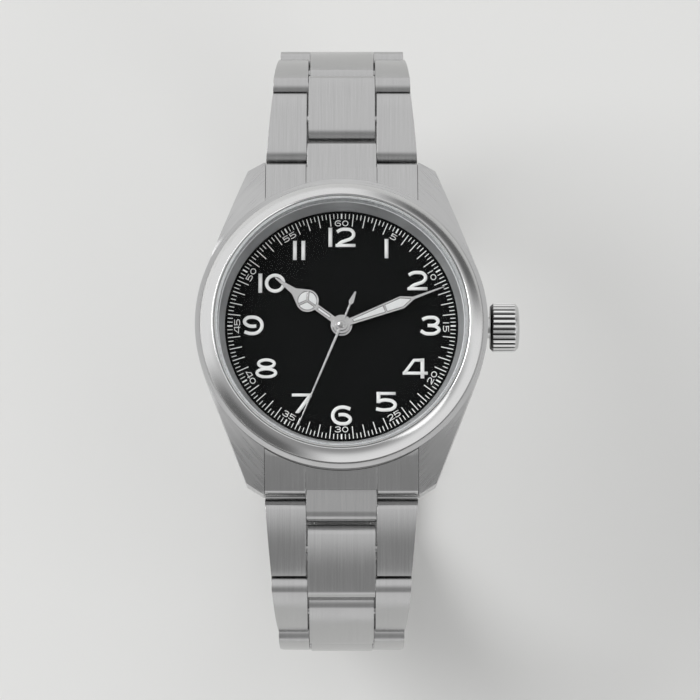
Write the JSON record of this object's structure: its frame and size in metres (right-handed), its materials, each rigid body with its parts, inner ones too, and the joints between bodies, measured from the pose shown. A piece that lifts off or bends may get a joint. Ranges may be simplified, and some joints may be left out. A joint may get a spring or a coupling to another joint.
{
  "type": "wristwatch",
  "caption": "Round steel wristwatch with a black numeral dial, three central hands and a tapering bracelet of three-piece links closed by a folding clasp.",
  "frame": {"origin": "centre of the case back's outer face", "axes": "+Z out of the dial, +Y towards 12 o'clock, +X towards the crown at 3 o'clock"},
  "size_m": [0.0422, 0.0814, 0.0654],
  "materials": {
    "steel_brushed": "satin brushed",
    "steel_polished": "mirror polished steel",
    "steel_plain": "turned steel",
    "hand_metal": "polished, filled with white luminous paint",
    "brass": "satin",
    "dial_black": "matt black with white print",
    "sapphire": "clear polished",
    "gasket_white": "nylon",
    "gasket_black": "matt"
  },
  "bodies": {
    "case": {"mid_case": "steel_brushed", "bezel": "steel_polished", "crystal": "sapphire", "crystal_gasket": "gasket_white", "rehaut_ring": "steel_polished", "dial": "dial_black", "case_back": "steel_polished", "case_back_gasket": "gasket_black", "movement_ring": "steel_plain", "crown_tube": "steel_polished", "lug_spring_bars": "steel_plain", "end_link_12": "steel_brushed", "end_link_6": "steel_brushed", "main_plate": "brass", "train_bridge": "steel_plain", "balance_cock": "steel_plain", "pallet_bridge": "steel_plain", "bridge_screws": "steel_plain", "hairspring": "steel_plain", "rotor_bearing": "steel_plain"},
    "setting": {"setting_lever": "steel_plain"},
    "crown": {"crown": "steel_polished", "winding_stem": "steel_plain", "crown_gasket": "gasket_black"},
    "hours": {"hour_hand": "hand_metal", "hour_wheel": "brass"},
    "minutes": {"minute_hand": "hand_metal", "centre_wheel": "brass"},
    "seconds": {"seconds_hand": "hand_metal", "fourth_wheel": "brass"},
    "third": {"third_wheel": "brass"},
    "motion": {"minute_wheel": "brass"},
    "barrel": {"barrel": "brass", "mainspring": "steel_plain"},
    "escape": {"escape_wheel": "steel_plain"},
    "pallets": {"pallet_fork": "steel_plain"},
    "balance": {"balance_wheel": "brass"},
    "rotor": {"rotor": "steel_plain"},
    "connector_12": {"connector_12": "steel_brushed"},
    "connector_6": {"connector_6": "steel_brushed"},
    "link_12_1": {"link_12_1": "steel_brushed"},
    "link_12_2": {"link_12_2": "steel_brushed"},
    "link_12_3": {"link_12_3": "steel_brushed"},
    "link_12_4": {"link_12_4": "steel_brushed"},
    "link_12_5": {"link_12_5": "steel_brushed"},
    "link_12_6": {"link_12_6": "steel_brushed"},
    "link_12_7": {"link_12_7": "steel_brushed"},
    "link_6_1": {"link_6_1": "steel_brushed"},
    "link_6_2": {"link_6_2": "steel_brushed"},
    "link_6_3": {"link_6_3": "steel_brushed"},
    "link_6_4": {"link_6_4": "steel_brushed"},
    "link_6_5": {"link_6_5": "steel_brushed"},
    "link_6_6": {"link_6_6": "steel_brushed"},
    "link_6_7": {"link_6_7": "steel_brushed", "clasp_spring_bar": "steel_plain"},
    "leaf_inner": {"clasp_leaf_inner": "steel_brushed"},
    "leaf_outer": {"clasp_leaf_outer": "steel_brushed"},
    "cover": {"clasp_cover": "steel_brushed"},
    "pusher_left": {"clasp_pusher_left": "steel_polished"},
    "pusher_right": {"clasp_pusher_right": "steel_polished"}
  },
  "joints": [
    {"name": "crown_pull", "type": "slide", "parent": "case", "child": "setting", "axis": [1, 0, 0], "range_m": [0, 0.001]},
    {"name": "crown_turn", "type": "hinge", "parent": "setting", "child": "crown", "pos_m": [0, 0, 0.00485], "axis": [1, 0, 0], "continuous": true},
    {"name": "minute_turn", "type": "hinge", "parent": "case", "child": "minutes", "pos_m": [0, 0, 0.0063], "axis": [0, 0, 1], "continuous": true},
    {"name": "hour_turn", "type": "hinge", "parent": "case", "child": "hours", "pos_m": [0, 0, 0.0063], "axis": [0, 0, 1], "continuous": true},
    {"name": "second_turn", "type": "hinge", "parent": "case", "child": "seconds", "pos_m": [0, 0, 0.0063], "axis": [0, 0, 1], "continuous": true},
    {"name": "third_turn", "type": "hinge", "parent": "case", "child": "third", "pos_m": [0.00407, 0.00148, 0.0063], "axis": [0, 0, 1], "continuous": true},
    {"name": "motion_turn", "type": "hinge", "parent": "case", "child": "motion", "pos_m": [-0.00099, 0.00271, 0.0063], "axis": [0, 0, 1], "continuous": true},
    {"name": "barrel_turn", "type": "hinge", "parent": "case", "child": "barrel", "pos_m": [-0.00598, 0, 0.0063], "axis": [0, 0, 1], "continuous": true},
    {"name": "escape_turn", "type": "hinge", "parent": "case", "child": "escape", "pos_m": [0.00203, -0.00351, 0.0063], "axis": [0, 0, 1], "continuous": true},
    {"name": "rotor_turn", "type": "hinge", "parent": "case", "child": "rotor", "pos_m": [0, 0, 0.0063], "axis": [0, 0, 1], "continuous": true},
    {"name": "pallet_rock", "type": "hinge", "parent": "case", "child": "pallets", "pos_m": [0.00325, -0.00563, 0.0036], "axis": [0, 0, 1], "range_deg": [-6, 6]},
    {"name": "balance_swing", "type": "hinge", "parent": "case", "child": "balance", "pos_m": [0.00424, -0.00734, 0.00255], "axis": [0, 0, 1], "range_deg": [-150, 150], "stiffness_Nm_per_rad": 0.000001},
    {"name": "connector_12_hinge", "type": "hinge", "parent": "case", "child": "connector_12", "pos_m": [0, 0.0201, 0.0032], "axis": [1, 0, 0], "range_deg": [0, 8]},
    {"name": "link_12_1_hinge", "type": "hinge", "parent": "connector_12", "child": "link_12_1", "pos_m": [0, 0.02376, 0.00269], "axis": [1, 0, 0], "range_deg": [0, 8]},
    {"name": "link_12_2_hinge", "type": "hinge", "parent": "link_12_1", "child": "link_12_2", "pos_m": [0, 0.03338, -0.00007], "axis": [1, 0, 0], "range_deg": [0, 41.5]},
    {"name": "link_12_3_hinge", "type": "hinge", "parent": "link_12_2", "child": "link_12_3", "pos_m": [0, 0.03875, -0.00851], "axis": [1, 0, 0], "range_deg": [0, 32.5]},
    {"name": "link_12_4_hinge", "type": "hinge", "parent": "link_12_3", "child": "link_12_4", "pos_m": [0, 0.03875, -0.01851], "axis": [1, 0, 0], "range_deg": [0, 12.51]},
    {"name": "link_12_5_hinge", "type": "hinge", "parent": "link_12_4", "child": "link_12_5", "pos_m": [0, 0.03658, -0.02827], "axis": [1, 0, 0], "range_deg": [0, 12.51]},
    {"name": "link_12_6_hinge", "type": "hinge", "parent": "link_12_5", "child": "link_12_6", "pos_m": [0, 0.03236, -0.03733], "axis": [1, 0, 0], "range_deg": [0, 12.51]},
    {"name": "link_12_7_hinge", "type": "hinge", "parent": "link_12_6", "child": "link_12_7", "pos_m": [0, 0.02626, -0.04526], "axis": [1, 0, 0], "range_deg": [0, 12.51]},
    {"name": "connector_6_hinge", "type": "hinge", "parent": "case", "child": "connector_6", "pos_m": [0, -0.0201, 0.0032], "axis": [-1, 0, 0], "range_deg": [0, 8]},
    {"name": "link_6_1_hinge", "type": "hinge", "parent": "connector_6", "child": "link_6_1", "pos_m": [0, -0.02376, 0.00269], "axis": [-1, 0, 0], "range_deg": [0, 8]},
    {"name": "link_6_2_hinge", "type": "hinge", "parent": "link_6_1", "child": "link_6_2", "pos_m": [0, -0.03338, -0.00007], "axis": [-1, 0, 0], "range_deg": [0, 41.5]},
    {"name": "link_6_3_hinge", "type": "hinge", "parent": "link_6_2", "child": "link_6_3", "pos_m": [0, -0.03875, -0.00851], "axis": [-1, 0, 0], "range_deg": [0, 32.5]},
    {"name": "link_6_4_hinge", "type": "hinge", "parent": "link_6_3", "child": "link_6_4", "pos_m": [0, -0.03875, -0.01851], "axis": [-1, 0, 0], "range_deg": [0, 12.51]},
    {"name": "link_6_5_hinge", "type": "hinge", "parent": "link_6_4", "child": "link_6_5", "pos_m": [0, -0.03658, -0.02827], "axis": [-1, 0, 0], "range_deg": [0, 12.51]},
    {"name": "link_6_6_hinge", "type": "hinge", "parent": "link_6_5", "child": "link_6_6", "pos_m": [0, -0.03236, -0.03733], "axis": [-1, 0, 0], "range_deg": [0, 12.51]},
    {"name": "link_6_7_hinge", "type": "hinge", "parent": "link_6_6", "child": "link_6_7", "pos_m": [0, -0.02626, -0.04526], "axis": [-1, 0, 0], "range_deg": [0, 12.51]},
    {"name": "leaf_inner_hinge", "type": "hinge", "parent": "link_12_7", "child": "leaf_inner", "pos_m": [0, 0.0186, -0.05168], "axis": [1, 0, 0], "range_deg": [0, 39.97]},
    {"name": "leaf_outer_hinge", "type": "hinge", "parent": "leaf_inner", "child": "leaf_outer", "pos_m": [0, -0.0135, -0.05136], "axis": [-1, 0, 0], "range_deg": [0, 110]},
    {"name": "cover_hinge", "type": "hinge", "parent": "leaf_outer", "child": "cover", "pos_m": [0, 0.015, -0.05258], "axis": [1, 0, 0], "range_deg": [0, 110]},
    {"name": "push_left", "type": "slide", "parent": "cover", "child": "pusher_left", "axis": [1, 0, 0], "range_m": [0, 0.0007], "stiffness_N_per_m": 400},
    {"name": "push_right", "type": "slide", "parent": "cover", "child": "pusher_right", "axis": [-1, 0, 0], "range_m": [0, 0.0007], "stiffness_N_per_m": 400}
  ],
  "couplings": [
    {"joint": "hour_turn", "follows": "minute_turn", "ratio": 0.083333},
    {"joint": "second_turn", "follows": "minute_turn", "ratio": 60},
    {"joint": "third_turn", "follows": "minute_turn", "ratio": -8},
    {"joint": "motion_turn", "follows": "minute_turn", "ratio": -0.33333},
    {"joint": "barrel_turn", "follows": "minute_turn", "ratio": -0.16667},
    {"joint": "escape_turn", "follows": "minute_turn", "ratio": -540}
  ]
}
